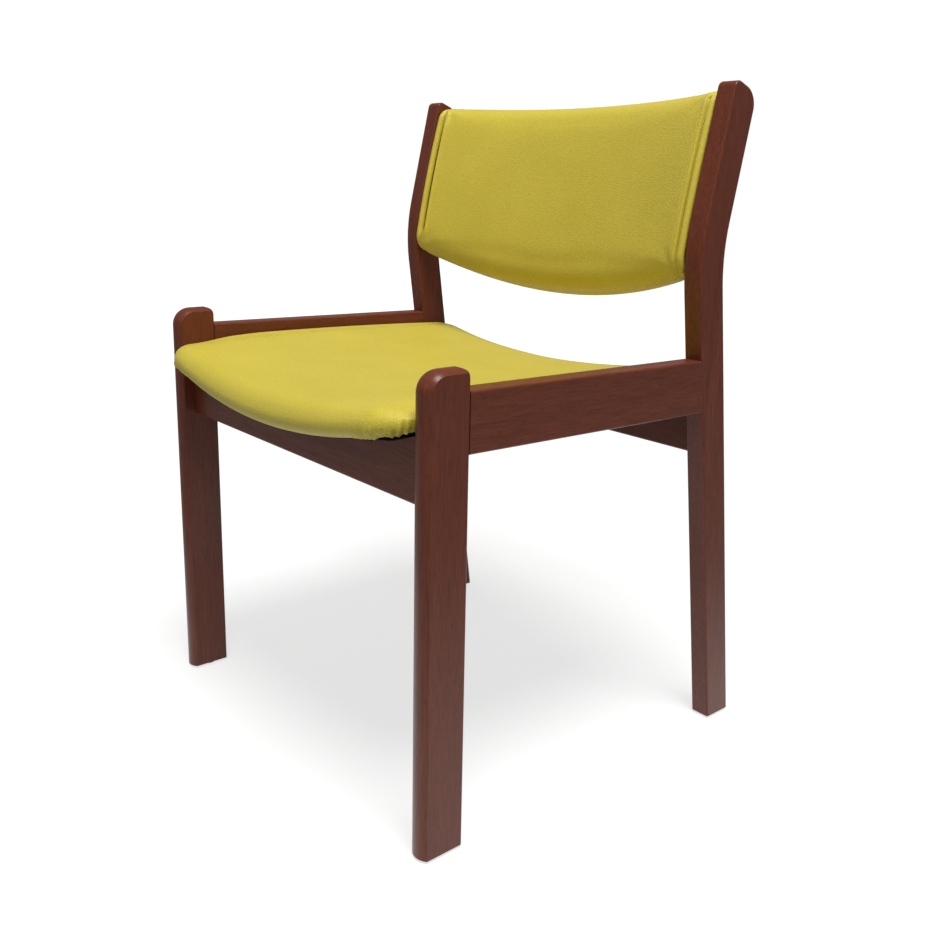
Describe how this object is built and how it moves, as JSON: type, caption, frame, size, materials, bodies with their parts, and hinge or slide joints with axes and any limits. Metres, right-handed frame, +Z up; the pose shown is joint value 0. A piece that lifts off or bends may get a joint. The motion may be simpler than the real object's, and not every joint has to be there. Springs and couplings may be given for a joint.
{
  "type": "visitor chair",
  "caption": "Wooden visitor chair with a dished padded seat between its side rails and a curved padded back held between raked rear posts.",
  "frame": {"origin": "on the floor, in the middle of the overall box", "axes": "+Z up, the sitter looks along -Y, +X to the sitter's left"},
  "size_m": [0.55, 0.5298, 0.78],
  "materials": {
    "stained_beech": "satin lacquer",
    "dowel_beech": "raw",
    "plywood": "raw",
    "foam": "open cell",
    "vinyl": "grained, satin",
    "lining": "matt",
    "steel": "zinc plated",
    "glide_nylon": "satin"
  },
  "bodies": {
    "root": {"front_leg_left": "stained_beech", "front_leg_right": "stained_beech", "rear_post_left": "stained_beech", "rear_post_right": "stained_beech", "side_rail_left": "stained_beech", "side_rail_right": "stained_beech", "front_rail": "stained_beech", "rear_rail": "stained_beech", "side_rail_dowels": "dowel_beech", "front_rail_dowels": "dowel_beech", "rear_rail_dowels": "dowel_beech", "back_dowels": "dowel_beech", "seat_board": "plywood", "back_board": "plywood", "seat_foam": "foam", "back_foam": "foam", "seat_cover": "vinyl", "back_cover": "vinyl", "back_rear_cover": "vinyl", "back_welt_left": "vinyl", "back_welt_right": "vinyl", "seat_lining": "lining", "seat_screws": "steel", "glide_nails": "steel", "glide_front_left": "glide_nylon", "glide_front_right": "glide_nylon", "glide_rear_left": "glide_nylon", "glide_rear_right": "glide_nylon"}
  },
  "joints": []
}
